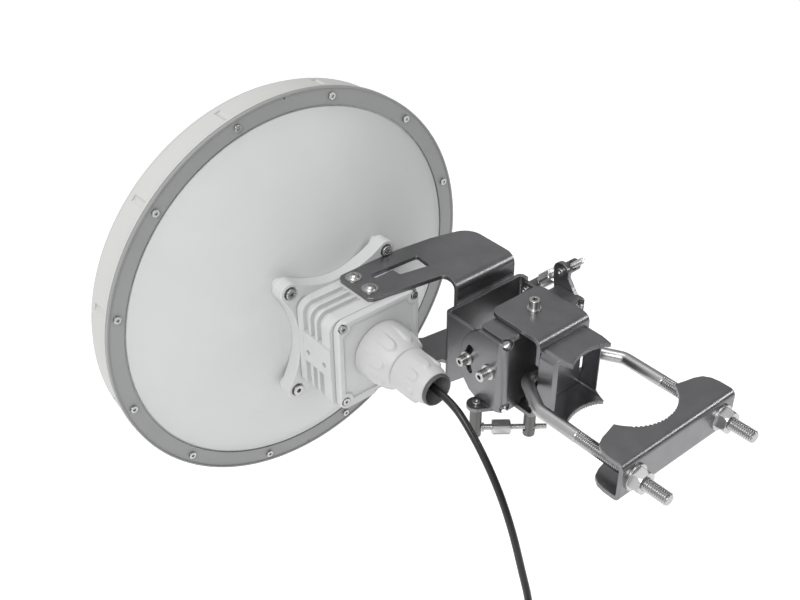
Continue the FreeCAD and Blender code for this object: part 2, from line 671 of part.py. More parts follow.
def button_screw(seat, out, shank_r, shank, head_r, head, key):
    """Button-head screw: a low dome over a thin flange."""
    ball_r = (head_r ** 2 + head ** 2) / (2.0 * head)
    centre = seat.add(V(out).multiply(head - ball_r))
    dome = Part.makeSphere(ball_r, centre).common(rod(seat, out, head_r, head + 1.0))
    inward = V(out).multiply(-1.0)
    flange = rod(seat, out, head_r + 1.4, 0.9)
    body = fuse([dome, flange, rod(seat, inward, shank_r, shank)])
    return body.cut(hexagon(seat.add(V(out).multiply(head * 0.4)), out, key, head))


# ---------------------------------------------------------------------------
# Swivel body
# ---------------------------------------------------------------------------

def cheek_outline():
    """Left or right cheek seen from the side, front first."""
    p = PIVOT_Y
    return [(SWIVEL_WEB_Y, CHEEK_TOP), (p - 15.0, CHEEK_TOP), (p - 26.0, 29.0), (p - 33.5, 17.0),
            (p - 37.0, 3.0), (p - 37.0, -12.0), (p - 32.0, -25.0), (p - 24.0, -34.5),
            (p - 13.0, -CHEEK_TOP - 2.2), (SWIVEL_WEB_Y, -CHEEK_TOP - 2.2)]


def slot_cut(low, high):
    """Curved slot about the elevation pivot."""
    half_width = 3.4
    swing = LOCK_SWING + 7.0
    p = V(low, PIVOT_Y, 0)
    outer = Part.makeCylinder(LOCK_RADIUS + half_width, high - low, p, X)
    inner = Part.makeCylinder(LOCK_RADIUS - half_width, high - low, p, X)
    reach = 60.0
    rays = [math.radians(a) for a in (-swing, 0, swing)]
    fan = [(PIVOT_Y - reach * math.cos(a), reach * math.sin(a)) for a in rays]
    wedge = side_plate([(PIVOT_Y, 0.0)] + fan, low, high)
    slot = outer.cut(inner).common(wedge)
    ends = []
    for a in (-swing, swing):
        y = PIVOT_Y - LOCK_RADIUS * math.cos(math.radians(a))
        z = LOCK_RADIUS * math.sin(math.radians(a))
        ends.append(rod(V(low, y, z), X, half_width, high - low))
    return fuse([slot] + ends)


def make_tabs():
    """Upper and lower tabs, folded forward from the web's ends."""
    out = box(V(-TAB_HALF_X, TAB_FRONT_Y, -TAB_TOP), V(TAB_HALF_X, SWIVEL_WEB_Y, TAB_TOP))
    out = rounded(out, 6.0, lambda e: along(e, X) and at(e, y=SWIVEL_WEB_Y))
    out = rounded(out, 3.0, lambda e: along(e, Z) and at(e, y=TAB_FRONT_Y))
    inside = box(V(-60.0, TAB_FRONT_Y - 1.0, SHEET - TAB_TOP), V(60.0, SWIVEL_WEB_Y - SHEET, TAB_TOP - SHEET))
    inside = rounded(inside, 2.0, lambda e: along(e, X) and at(e, y=SWIVEL_WEB_Y - SHEET))
    folded = out.cut(inside)
    flat_x = SWIVEL_HALF_X - SWIVEL_BEND_R
    for sign in (1, -1):
        low, high = sorted((sign * flat_x, sign * 60.0))
        folded = folded.cut(box(V(low, SWIVEL_WEB_Y - 6.0, -60.0), V(high, SWIVEL_WEB_Y + 1.0, 60.0)))
    return folded


def make_swivel_body():
    """Sheet U with cheeks, a web toward the pole and two folded tabs."""
    inner_x = SWIVEL_HALF_X - SHEET
    u_out = box(V(-SWIVEL_HALF_X, -160.0, -60.0), V(SWIVEL_HALF_X, SWIVEL_WEB_Y, 70.0))
    u_out = rounded(u_out, SWIVEL_BEND_R, lambda e: along(e, Z) and abs(e.CenterOfMass.y - SWIVEL_WEB_Y) < 0.1)
    u_in = box(V(-inner_x, -161.0, -61.0), V(inner_x, SWIVEL_WEB_Y - SHEET, 71.0))
    u_in = rounded(u_in, SWIVEL_BEND_R - SHEET,
                   lambda e: along(e, Z) and abs(e.CenterOfMass.y - SWIVEL_WEB_Y + SHEET) < 0.1)
    side = side_plate(cheek_outline(), -60.0, 60.0)
    top = EL_HIGH
    ear = side_plate([(top.y - 6.0, CHEEK_TOP - 12.0), (top.y - 8.9, top.z), (top.y, top.z + 8.9),
                      (top.y + 14.0, CHEEK_TOP + 6.0), (top.y + 22.0, CHEEK_TOP - 4.0)], -60.0, -40.0)
    ear = ear.fuse(rod(V(-60.0, top.y, top.z), X, 9.0, 20.0)).removeSplitter()
    bent = u_out.cut(u_in).common(side.fuse(ear).removeSplitter())
    solid = fuse([bent, make_tabs(), make_swivel_ear()])
    cuts = []
    for sign in (1, -1):
        cuts.append(rod(V(0, PIVOT_Y, sign * (TAB_TOP + 1)), V(0, 0, -sign), 5.6, SHEET + 2.0))
        for side_sign in (1, -1):
            cuts.append(Part.makeSphere(5.2, V(side_sign * 46.0, -92.0, sign * 34.6)))
        low, high = sorted((sign * (inner_x - 1.0), sign * (SWIVEL_HALF_X + 1.0)))
        cuts.append(slot_cut(low, high))
        cuts.append(rod(V(low, PIVOT_Y, 0), X, SHOULDER_R, high - low))
    cuts.append(rod(V(-SWIVEL_HALF_X - 1.0, top.y, top.z), X, NECK_R + RUN, SHEET + 2.0))
    cuts.append(rod(V(CAP_RELIEF[0], CAP_RELIEF[1], -TAB_TOP - 1.0), Z, 5.8, SHEET + 1.8))
    return solid.cut(Part.makeCompound(cuts))


def make_swivel_ear():
    """Ear under the lower tab that carries the azimuth screw's post."""
    near = AZ_NEAR
    high = -TAB_TOP
    shape = plate([(EAR_INNER_X, -120.0), (near.x - 2.0, near.y - 8.8), (near.x + 6.0, near.y + 6.5),
                   (44.0, -97.5), (EAR_INNER_X, -97.5)], high - EAR_THICK, high)
    shape = shape.fuse(rod(V(near.x, near.y, high - EAR_THICK), Z, 9.0, EAR_THICK)).removeSplitter()
    return shape.cut(rod(V(near.x, near.y, high - 6.0), Z, NECK_R + RUN, 10.0))


def pivot_screw(seat, out, length):
    """Shoulder screw with a round washer under its socket head."""
    washer = rod(seat, out, 7.2, 1.6)
    head = cap_screw(seat.add(V(out).multiply(1.6)), out, SHOULDER_R - 0.5, 1.0, 5.0, 10.0, 4.2)
    shank = rod(seat, V(out).multiply(-1.0), SHOULDER_R - 0.01, length)
    return fuse([washer, head, shank])


def make_pivots():
    """Azimuth pivot screws, their bushes and nuts; elevation set likewise."""
    az_screws, az_bushes, az_nuts = [], [], []
    for sign in (1, -1):
        out = V(0, 0, sign)
        seat = V(0, PIVOT_Y, sign * BASE_TOP)
        az_screws.append(tall_head_screw(seat, out))
        bush = rod(V(0, PIVOT_Y, sign * TAB_TOP), V(0, 0, -sign), 5.59, SHEET)
        bore = rod(V(0, PIVOT_Y, sign * (TAB_TOP + 1)), V(0, 0, -sign), SHOULDER_R + RUN, 8.0)
        az_bushes.append(bush.cut(bore))
        nut_face = V(0, PIVOT_Y, sign * (TAB_TOP - SHEET - 0.4))
        nut = hexagon(nut_face, V(0, 0, -sign), 13.0, 5.0)
        az_nuts.append(nut.cut(rod(nut_face.add(V(0, 0, sign)), V(0, 0, -sign), SHOULDER_R, 8.0)))
    el_screws, el_bushes, el_nuts = [], [], []
    for sign in (1, -1):
        out = V(sign, 0, 0)
        seat = V(sign * SWIVEL_HALF_X, PIVOT_Y, 0)
        el_screws.append(pivot_screw(seat, out, 14.6))
        face = V(sign * CLEVIS_X, PIVOT_Y, 0)
        bush = rod(face, V(-sign, 0, 0), 5.59, SHEET)
        bore = rod(V(sign * (CLEVIS_X + 1), PIVOT_Y, 0), V(-sign, 0, 0), SHOULDER_R + RUN, 8.0)
        el_bushes.append(bush.cut(bore))
        nut_face = V(sign * (CLEVIS_X - SHEET - 0.4), PIVOT_Y, 0)
        nut = hexagon(nut_face, V(-sign, 0, 0), 13.0, 5.0)
        el_nuts.append(nut.cut(rod(nut_face.add(V(sign, 0, 0)), V(-sign, 0, 0), SHOULDER_R, 8.0)))
    return az_screws, az_bushes, az_nuts, el_screws, el_bushes, el_nuts


def tall_head_screw(seat, out):
    """Azimuth pivot: collar, tall socket head and a plain shoulder."""
    collar = rod(seat, out, 6.5, 1.6)
    head = cap_screw(seat.add(V(out).multiply(1.6)), out, 3.0, 1.0, 5.0, 8.8, 4.2)
    shank = rod(seat, V(out).multiply(-1.0), SHOULDER_R - 0.01, 13.4)
    return fuse([collar, head, shank])


def make_lock_screws():
    """Elevation lock screws; they ride on the arm and pass the cheek slots."""
    screws = []
    nuts = []
    y = PIVOT_Y - LOCK_RADIUS
    for sign in (1, -1):
        out = V(sign, 0, 0)
        seat = V(sign * (SWIVEL_HALF_X + 0.3), y, 0)
        washer = rod(seat, out, 6.6, 1.5)
        head = cap_screw(seat.add(V(out).multiply(1.5)), out, 2.5, 1.0, 4.6, 8.4, 4.0)
        shank = rod(seat, V(out).multiply(-1.0), 3.0, 14.0)
        screws.append(fuse([washer, head, shank]))
        nut_face = V(sign * (CLEVIS_X - SHEET), y, 0)
        nut = hexagon(nut_face, V(-sign, 0, 0), 10.0, 4.6, 30.0)
        nuts.append(nut.cut(rod(nut_face.add(V(sign, 0, 0)), V(-sign, 0, 0), 3.0, 8.0)))
    return screws, nuts


# ---------------------------------------------------------------------------
# Bracket base, saddle, bolt and jaw
# ---------------------------------------------------------------------------

def make_bracket_base():
    """Sheet C: top and bottom plates joined by a web against the saddle."""
    outer = box(V(-BASE_HALF_X, BASE_FRONT_Y, -BASE_TOP), V(BASE_HALF_X, BASE_WEB_Y, BASE_TOP))
    outer = rounded(outer, 8.0, lambda e: along(e, X) and abs(e.CenterOfMass.y - BASE_WEB_Y) < 0.1)
    inner = box(V(-BASE_HALF_X - 1, BASE_FRONT_Y - 1, -BASE_TOP + SHEET),
                V(BASE_HALF_X + 1, BASE_WEB_Y - SHEET, BASE_TOP - SHEET))
    inner = rounded(inner, 4.0, lambda e: along(e, X) and abs(e.CenterOfMass.y - BASE_WEB_Y + SHEET) < 0.1)
    base = outer.cut(inner)
    base = rounded(base, 9.0, lambda e: along(e, Z) and abs(e.CenterOfMass.y - BASE_FRONT_Y) < 0.1)
    cuts = [rod(V(AZ_FAR.x, AZ_FAR.y, -BASE_TOP - 1), Z, NECK_R + RUN, SHEET + 2)]
    for sign in (1, -1):
        cuts.append(rod(V(0, PIVOT_Y, sign * (BASE_TOP + 1)), V(0, 0, -sign), SHOULDER_R, 7.0))
        low, high = sorted((sign * 24.0, sign * (BASE_HALF_X + 1)))
        cuts.append(box(V(low, BASE_WEB_Y - SHEET - 1, -17.0), V(high, BASE_WEB_Y + 1, 17.0)))
    return base.cut(Part.makeCompound(cuts))


def arc_teeth(facing, first, last):
    """Fine grooves that leave narrow lands against the pole."""
    cuts = []
    count = 17
    for k in range(count):
        angle = math.radians(first + (last - first) * k / (count - 1))
        centre = V(POLE_R * math.sin(angle), facing * POLE_R * math.cos(angle), -40.0)
        cuts.append(Part.makeCylinder(1.0, 80.0, centre, Z))
    return cuts


def make_inner_saddle():
    """Box welded on the web; its top and bottom edges hug the pole."""
    half = SADDLE_HALF_Z
    outer = box(V(-BASE_HALF_X, BASE_WEB_Y, -half), V(BASE_HALF_X, -20.0, half))
    outer = rounded(outer, 8.0, lambda e: along(e, Y))
    inner = box(V(-BASE_HALF_X + SHEET, BASE_WEB_Y - 1, -half + SHEET),
                V(BASE_HALF_X - SHEET, -19.0, half - SHEET))
    inner = rounded(inner, 4.0, lambda e: along(e, Y))
    edge = [(BASE_HALF_X, BASE_WEB_Y), (BASE_HALF_X, -52.5), (27.0, -50.0), (22.5, -33.0)]
    top_view = plate(edge + [(-x, y) for x, y in reversed(edge)], -60.0, 60.0)
    pole = Part.makeCylinder(POLE_R, 80.0, V(0, 0, -40.0), Z)
    teeth = arc_teeth(-1, -26.0, 26.0)
    return outer.cut(inner).common(top_view).cut(pole).cut(Part.makeCompound(teeth))


def bolt_path():
    mid_y = BASE_WEB_Y - SHEET - BOLT_R - 0.2
    route = [(-LEG_X, BOLT_TIP_Y), (-LEG_X, -44.0), (-SHOULDER_X, mid_y), (SHOULDER_X, mid_y), (LEG_X, -44.0),
             (LEG_X, BOLT_TIP_Y)]
    return [V(x, y, BOLT_Z) for x, y in route]


def bend_path(points, radius):
    """Polyline with every corner rounded to one radius."""
    edges = []
    cursor = points[0]
    for before, corner, after in zip(points, points[1:], points[2:]):
        back = before.sub(corner)
        ahead = after.sub(corner)
        turn = math.pi - back.getAngle(ahead)
        reach = radius * math.tan(turn / 2.0)
        back.normalize()
        ahead.normalize()
        start = corner.add(V(back).multiply(reach))
        end = corner.add(V(ahead).multiply(reach))
        bisector = back.add(ahead)
        bisector.normalize()
        middle = corner.add(bisector.multiply(radius / math.cos(turn / 2.0) - radius))
        edges.append(Part.LineSegment(cursor, start).toShape())
        edges.append(Part.Arc(start, middle, end).toShape())
        cursor = end
    edges.append(Part.LineSegment(cursor, points[-1]).toShape())
    return Part.Wire(edges)


def make_v_bolt():
    points = bolt_path()
    path = bend_path(points, 13.0)
    section = Part.Wire([Part.Circle(points[0], Y, BOLT_R).toShape()])
    bolt = path.makePipeShell([section], True, False)
    tips = [e for e in bolt.Edges if e.Closed and e.CenterOfMass.y > BOLT_TIP_Y - 0.1]
    return bolt.makeChamfer(1.0, tips)


def make_outer_saddle():
    """Channel jaw: web behind, two flanges whose arcs hug the pole."""
    half_x = JAW_HALF_X
    front_y = 20.0
    outer = box(V(-half_x, front_y, JAW_LOW), V(half_x, JAW_FACE_Y, JAW_HIGH))
    outer = rounded(outer, 6.0, lambda e: along(e, X) and abs(e.CenterOfMass.y - JAW_FACE_Y) < 0.1)
    inner = box(V(-half_x - 1, front_y - 1, JAW_LOW + SHEET),
                V(half_x + 1, JAW_FACE_Y - SHEET, JAW_HIGH - SHEET))
    inner = rounded(inner, 2.5, lambda e: along(e, X) and abs(e.CenterOfMass.y - JAW_FACE_Y + SHEET) < 0.1)
    side = [(half_x, JAW_FACE_Y + 1), (half_x, 44.0), (half_x - 1.5, 36.0), (half_x - 5.5, 30.0),
            (half_x - 13.0, 26.5), (half_x - 22.0, 24.5), (39.0, 22.0)]
    outline = side + [(-x, y) for x, y in reversed(side)]
    jaw = outer.cut(inner).common(plate(outline, -40.0, 40.0))
    cuts = [Part.makeCylinder(POLE_R, 80.0, V(0, 0, -40.0), Z)] + arc_teeth(1, -40.0, 40.0)
    for sign in (1, -1):
        slot = box(V(sign * LEG_X - 8.0, JAW_FACE_Y - 8.0, BOLT_Z - 6.6),
                   V(sign * LEG_X + 8.0, JAW_FACE_Y + 1, BOLT_Z + 6.6))
        cuts.append(rounded(slot, 6.4, lambda e: along(e, Y)))
    return jaw.cut(Part.makeCompound(cuts))


def make_clamp_nuts():
    nuts = []
    for sign in (1, -1):
        face = V(sign * LEG_X, JAW_FACE_Y, BOLT_Z)
        flange = rod(face, Y, 12.2, 2.2)
        body = hexagon(face.add(V(0, 2.2, 0)), Y, 19.0, 9.2, 12.0)
        body = body.common(Part.makeCone(12.6, 9.0, 12.8, face.add(V(0, 2.2, 0)), Y))
        nut = fuse([flange, body])
        nuts.append(nut.cut(rod(face.sub(V(0, 1, 0)), Y, BOLT_R + 0.06, 14.0)))
    return nuts


# ---------------------------------------------------------------------------
# Adjusters
# ---------------------------------------------------------------------------

def post(centre, toward, ear_face, ear_thick, bore_r, direction):
    """Round post beside an ear: its neck turns in the ear's hole."""
    reach = ear_face - 0.2
    body = rod(centre.sub(V(toward).multiply(POST_FOOT)), toward, POST_R, reach + POST_FOOT)
    neck_end = ear_face + ear_thick + 0.3
    body = body.fuse(rod(centre, toward, NECK_R, neck_end)).removeSplitter()
    body = body.cut(rod(centre.sub(V(direction).multiply(20.0)), direction, bore_r, 40.0))
    body = body.cut(rod(centre.add(V(toward).multiply(neck_end - 7.0)), toward, 1.5, 8.0))
    cap = cap_screw(centre.add(V(toward).multiply(neck_end)), toward, 1.5, 7.0, 3.7, 2.2, 2.6)
    return body, cap


def adjuster_screw(near, far, hex_at, end):
    """Rod with a hexagon, held in the near post and threaded in the far one."""
    direction = far.sub(near)
    span = direction.Length
    direction.normalize()
    start = near.sub(V(direction).multiply(POST_R + 2.4))
    shaft = rod(start, direction, ROD_R, span + end + POST_R + 2.4)
    stop = rod(start, direction, 4.4, 2.0)
    collar = rod(near.add(V(direction).multiply(POST_R + 0.4)), direction, 4.4, 2.0)
    hex_start = near.add(V(direction).multiply(hex_at))
    body = hexagon(hex_start, direction, HEX_FLATS, HEX_LONG)
    body = body.common(rod(hex_start, direction, HEX_FLATS * 0.56, HEX_LONG))
    return fuse([shaft, stop, collar, body])


def main():
    save("radome", make_radome())
    save("rim_band", make_band())
    save("reflector", make_reflector())
    save("rim_screws", *make_rim_screws())
    save("rim_gasket", ring_y([(REFLECTOR_R + 0.4, -3.2), (REFLECTOR_R + 0.4, -2.4), (RIM_SCREW_R - 2.4, -2.4),
                               (RIM_SCREW_R - 2.4, -3.2)]))
    tube, splash, cone = make_feed()
    save("feed_tube", tube)
    save("subreflector", splash)
    save("feed_cone", cone)
    save("mounting_flange", make_mounting_flange())
    save("flange_screws", *make_flange_screws())
    save("radio_housing", make_radio_housing())
    save("rear_cover", make_rear_cover())
    save("cover_screws", *make_cover_screws())
    save("cover_gasket", make_gasket())
    rf_block, pad, board, jack, plug = make_electronics()
    save("rf_module", rf_block)
    save("thermal_pad", pad)
    save("main_board", board)
    save("ethernet_jack", jack)
    save("ethernet_plug", plug)
    save("gland_dome", make_gland_dome())
    save("gland_nut", make_gland_nut())
    neck, seal, boot, inside = make_gland_core()
    save("gland_body", neck)
    save("gland_seal", seal)
    save("gland_boot", boot)
    save("cable_inside", inside)
    save("drop_cable", make_cord())
    coil, tie = make_coil()
    save("cable_coil", coil)
    save("cable_tie", tie)
    tail, tail_plug, plug_boot = make_tail()
    save("cable_tail", tail)
    save("cable_plug", tail_plug)
    save("plug_boot", plug_boot)
    save("mount_arm", make_mount_arm())
    save("arm_screws", *make_arm_screws())
    save("swivel_body", make_swivel_body())
    az_screws, az_bushes, az_nuts, el_screws, el_bushes, el_nuts = make_pivots()
    save("azimuth_pivot_screws", *az_screws)
    save("azimuth_bushes", *az_bushes)
    save("azimuth_pivot_nuts", *az_nuts)
    save("elevation_pivot_screws", *el_screws)
    save("elevation_bushes", *el_bushes)
    save("elevation_pivot_nuts", *el_nuts)
    lock_screws, lock_nuts = make_lock_screws()
    save("elevation_lock_screws", *lock_screws)
    save("elevation_lock_nuts", *lock_nuts)
    save("bracket_base", make_bracket_base())
    save("inner_saddle", make_inner_saddle())
    save("v_bolt", make_v_bolt())
    save("outer_saddle", make_outer_saddle())
    save("clamp_nuts", *make_clamp_nuts())
    azimuth_ears = ((-TAB_TOP - EAR_THICK, EAR_THICK), (-BASE_TOP, SHEET))
    elevation_ears = ((-CLEVIS_X, SHEET), (-SWIVEL_HALF_X, SHEET))
    for name, near, far, toward, ears, hex_at, end in (
            ("azimuth", AZ_NEAR, AZ_FAR, Z, azimuth_ears, 15.0, 16.0),
            ("elevation", EL_LOW, EL_HIGH, X, elevation_ears, 11.5, 20.0)):
        direction = far.sub(near)
        direction.normalize()
        for label, centre, bore_r, (face, thick) in (("near", near, ROD_R + RUN, ears[0]),
                                                     ("far", far, OPEN_BORE_R, ears[1])):
            body, cap = post(centre, toward, face - centre.dot(toward), thick, bore_r, direction)
            save(name + "_" + label + "_post", body)
            save(name + "_" + label + "_cap", cap)
        save(name + "_screw", adjuster_screw(near, far, hex_at, end))


main()
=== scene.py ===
import bmesh
import bpy
import json
import math
from mathutils import Matrix, Vector


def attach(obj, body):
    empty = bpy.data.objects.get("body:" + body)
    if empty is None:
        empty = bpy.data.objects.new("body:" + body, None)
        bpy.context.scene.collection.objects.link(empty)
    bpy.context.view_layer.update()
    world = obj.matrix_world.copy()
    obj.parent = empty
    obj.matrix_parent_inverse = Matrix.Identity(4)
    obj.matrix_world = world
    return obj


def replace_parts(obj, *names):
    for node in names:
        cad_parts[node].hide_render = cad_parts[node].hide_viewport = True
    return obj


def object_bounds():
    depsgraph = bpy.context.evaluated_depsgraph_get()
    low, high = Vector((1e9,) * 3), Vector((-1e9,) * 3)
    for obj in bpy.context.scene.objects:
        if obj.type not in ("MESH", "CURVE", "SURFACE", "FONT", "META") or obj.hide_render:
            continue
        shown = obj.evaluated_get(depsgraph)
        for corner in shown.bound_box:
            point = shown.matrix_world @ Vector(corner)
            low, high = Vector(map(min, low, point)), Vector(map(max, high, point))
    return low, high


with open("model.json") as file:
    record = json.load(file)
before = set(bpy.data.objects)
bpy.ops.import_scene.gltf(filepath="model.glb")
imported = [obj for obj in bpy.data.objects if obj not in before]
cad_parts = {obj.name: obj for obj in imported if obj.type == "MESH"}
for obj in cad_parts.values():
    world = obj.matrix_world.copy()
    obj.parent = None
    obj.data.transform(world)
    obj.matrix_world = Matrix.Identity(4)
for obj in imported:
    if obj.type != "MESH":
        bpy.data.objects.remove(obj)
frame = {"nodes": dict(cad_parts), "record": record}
cad_low, cad_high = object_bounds()
MM = 0.001


def pt(x, y, z):
    """A point given in millimetres, as in the CAD model."""
    return Vector((x * MM, y * MM, z * MM))


# ---------------------------------------------------------------------------
# Camera
# ---------------------------------------------------------------------------

def make_camera():
    data = bpy.data.cameras.new("camera")
    data.lens = 50.0
    data.sensor_width = 36.0
    data.clip_start = 0.05
    data.clip_end = 20.0
    camera = bpy.data.objects.new("camera", data)
    bpy.context.scene.collection.objects.link(camera)
    right = Vector((-0.76609, 0.64271, -0.00541))
    up = Vector((-0.37322, -0.43798, 0.81785))
    back = Vector((0.5233, 0.6286, 0.5754))
    turn = Matrix((right, up, back)).transposed().to_4x4()
    camera.matrix_world = Matrix.Translation(Vector((0.59905, 0.42821, 0.61295))) @ turn
    bpy.context.scene.camera = camera


make_camera()


# ---------------------------------------------------------------------------
# Materials
# ---------------------------------------------------------------------------

def paint(name, color, rough, metal=0.0, grain=900.0, bump=0.12, mottle=0.04, mottle_scale=30.0,
          rough_spread=0.06, edge=0.0006, stretch=(1.0, 1.0, 1.0), alpha=1.0):
    """A coated or bare surface: mottled colour, uneven gloss, fine grain and soft edges."""
    material = bpy.data.materials.new(name)
    material.use_nodes = True
    nodes, links = material.node_tree.nodes, material.node_tree.links
    shader = nodes["Principled BSDF"]
    shader.inputs["Metallic"].default_value = metal
    shader.inputs["Alpha"].default_value = alpha
    place = nodes.new("ShaderNodeTexCoord")
    mapping = nodes.new("ShaderNodeMapping")
    mapping.inputs["Scale"].default_value = stretch
    links.new(place.outputs["Object"], mapping.inputs["Vector"])

    def noise(scale, detail):
        node = nodes.new("ShaderNodeTexNoise")
        node.inputs["Scale"].default_value = scale
        node.inputs["Detail"].default_value = detail
        links.new(mapping.outputs["Vector"], node.inputs["Vector"])
        return node

    tone = nodes.new("ShaderNodeValToRGB")
    dark = [c * (1.0 - mottle) for c in color]
    light = [min(1.0, c * (1.0 + mottle)) for c in color]
    tone.color_ramp.elements[0].position = 0.3
    tone.color_ramp.elements[0].color = (*dark, 1.0)
    tone.color_ramp.elements[1].position = 0.7
    tone.color_ramp.elements[1].color = (*light, 1.0)
    broad = noise(mottle_scale, 4.0)
    links.new(broad.outputs["Fac"], tone.inputs["Fac"])
    links.new(tone.outputs["Color"], shader.inputs["Base Color"])
    gloss = nodes.new("ShaderNodeMapRange")
    gloss.inputs["To Min"].default_value = rough - rough_spread
    gloss.inputs["To Max"].default_value = rough + rough_spread
    links.new(noise(mottle_scale * 4.0, 3.0).outputs["Fac"], gloss.inputs["Value"])
    links.new(gloss.outputs["Result"], shader.inputs["Roughness"])
    relief = nodes.new("ShaderNodeBump")
    relief.inputs["Strength"].default_value = bump
    relief.inputs["Distance"].default_value = 0.0002
    links.new(noise(grain, 2.0).outputs["Fac"], relief.inputs["Height"])
    if edge > 0.0:
        soften = nodes.new("ShaderNodeBevel")
        soften.samples = 6
        soften.inputs["Radius"].default_value = edge
        links.new(soften.outputs["Normal"], relief.inputs["Normal"])
    links.new(relief.outputs["Normal"], shader.inputs["Normal"])
    return material


FINISH = {
    "radome_shell": paint("radome_shell", (0.51, 0.51, 0.498), 0.5, grain=1400.0, bump=0.06, mottle=0.012),
    "band_paint": paint("band_paint", (0.27, 0.274, 0.272), 0.42, grain=1200.0, bump=0.12, mottle=0.03),
    "reflector_paint": paint("reflector_paint", (0.53, 0.54, 0.54), 0.45, grain=1000.0, bump=0.08,
                             mottle=0.012),
    "screw_steel": paint("screw_steel", (0.50, 0.50, 0.49), 0.28, metal=1.0, grain=2500.0, edge=0.0003),
    "gasket_rubber": paint("gasket_rubber", (0.02, 0.02, 0.02), 0.7, bump=0.3, edge=0.0003),
    "feed_metal": paint("feed_metal", (0.6, 0.61, 0.62), 0.35, metal=1.0, stretch=(1.0, 12.0, 1.0)),
    "inner_plastic": paint("inner_plastic", (0.72, 0.72, 0.69), 0.5),
    "radio_paint": paint("radio_paint", (0.53, 0.535, 0.535), 0.46, grain=1500.0, bump=0.16, mottle=0.02,
                         edge=0.0009),
    "board_laminate": paint("board_laminate", (0.03, 0.2, 0.09), 0.35, mottle=0.2, mottle_scale=400.0),
    "jack_shell": paint("jack_shell", (0.6, 0.6, 0.6), 0.3, metal=1.0),
    "clear_plastic": paint("clear_plastic", (0.75, 0.78, 0.8), 0.12, bump=0.02, alpha=0.75),
    "gland_plastic": paint("gland_plastic", (0.48, 0.484, 0.48), 0.44, grain=1300.0, bump=0.10,
                           mottle=0.015, edge=0.0),
    "boot_rubber": paint("boot_rubber", (0.07, 0.07, 0.072), 0.42, bump=0.3, edge=0.0006),
    "cable_jacket": paint("cable_jacket", (0.007, 0.007, 0.008), 0.36, grain=1600.0, bump=0.06, edge=0.0),
    "bracket_paint": paint("bracket_paint", (0.208, 0.205, 0.213), 0.31, metal=0.92, grain=1300.0,
                           bump=0.10, mottle=0.07, mottle_scale=50.0, rough_spread=0.07, edge=0.0011),
    "bush_plastic": paint("bush_plastic", (0.05, 0.05, 0.05), 0.5),
    "bolt_steel": paint("bolt_steel", (0.43, 0.427, 0.43), 0.31, metal=1.0, grain=2200.0, bump=0.08,
                        edge=0.0),
    "nut_zinc": paint("nut_zinc", (0.50, 0.50, 0.50), 0.30, metal=1.0, grain=1800.0, bump=0.1, edge=0.0007),
    "post_paint": paint("post_paint", (0.14, 0.138, 0.133), 0.42, metal=0.85, grain=1500.0, bump=0.2,
                        edge=0.0006),
}


def dress(obj, slot):
    obj.data.materials.clear()
    obj.data.materials.append(FINISH[slot])
    return obj


def shade(obj, angle=35.0):
    """Smooth shading that keeps edges sharper than the angle."""
    with bpy.context.temp_override(object=obj, selected_objects=[obj], selected_editable_objects=[obj],
                                   active_object=obj):
        bpy.ops.object.shade_smooth_by_angle(angle=math.radians(angle))


NODE_SLOT = {entry["node"]: entry["material_slot"] for entry in frame["record"]["subparts"]}
for node, obj in frame["nodes"].items():
    obj.data.materials.clear()
    obj.data.materials.append(FINISH[NODE_SLOT[node]])


def new_object(name, mesh, slot, body):
    obj = bpy.data.objects.new(name, mesh)
    bpy.context.scene.collection.objects.link(obj)
    dress(obj, slot)
    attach(obj, body)
    return obj


# ---------------------------------------------------------------------------
# Cord: the same route as the CAD cable's, as one smooth spline
# ---------------------------------------------------------------------------

# Millimetres, apart from the length, which is in metres.
CABLE_R = 3.4
CORD_X = 106.0
CORD_ROUTE = ((-119.5, 2.5), (-95.5, 1.6), (-71.5, -15.5), (-50.0, -37.5), (-31.5, -63.0), (-15.5, -94.0),
              (-2.0, -130.0), (8.0, -155.0), (12.8, -186.0))
COIL_X, COIL_Y, COIL_Z = CORD_X + 17.4, 53.0, -216.0
COIL_TURNS, COIL_STEPS, COIL_SPREAD, COIL_R = 5, 12, 17.4, 39.3
TAIL_ROUTE = ((COIL_X + 17.8, 14.0, -246.0), (COIL_X + 18.8, 15.4, -272.0), (COIL_X + 18.8, 15.4, -294.0))


def cord_points():
    """Down from the gland, round the coil's turns from side to side, and down the tail."""
    points = [pt(CORD_X, y, z) for y, z in CORD_ROUTE]
    count = COIL_TURNS * COIL_STEPS
    for k in range(count + 1):
        angle = 2.0 * math.pi * k / COIL_STEPS
        across = COIL_X + COIL_SPREAD * (2.0 * k / count - 1.0)
        points.append(pt(across, COIL_Y - COIL_R * math.cos(angle), COIL_Z - COIL_R * math.sin(angle)))
    return points + [pt(*place) for place in TAIL_ROUTE]


def make_cord():
    data = bpy.data.curves.new("drop_cord", "CURVE")
    data.dimensions = "3D"
    data.resolution_u = 12
    spline = data.splines.new("NURBS")
    points = cord_points()
    spline.points.add(len(points) - 1)
    for knot, place in zip(spline.points, points):
        knot.co = (*place, 1.0)
    spline.order_u = 3
    spline.use_endpoint_u = True
    data.bevel_depth = CABLE_R * MM
    data.bevel_resolution = 6
    data.use_fill_caps = True
    cord = bpy.data.objects.new("drop_cord", data)
    bpy.context.scene.collection.objects.link(cord)
    dress(cord, "cable_jacket")
    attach(cord, "antenna")
    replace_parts(cord, "drop_cable", "cable_coil", "cable_tail")
    return cord


make_cord()


# ---------------------------------------------------------------------------
# Threaded rods
# ---------------------------------------------------------------------------

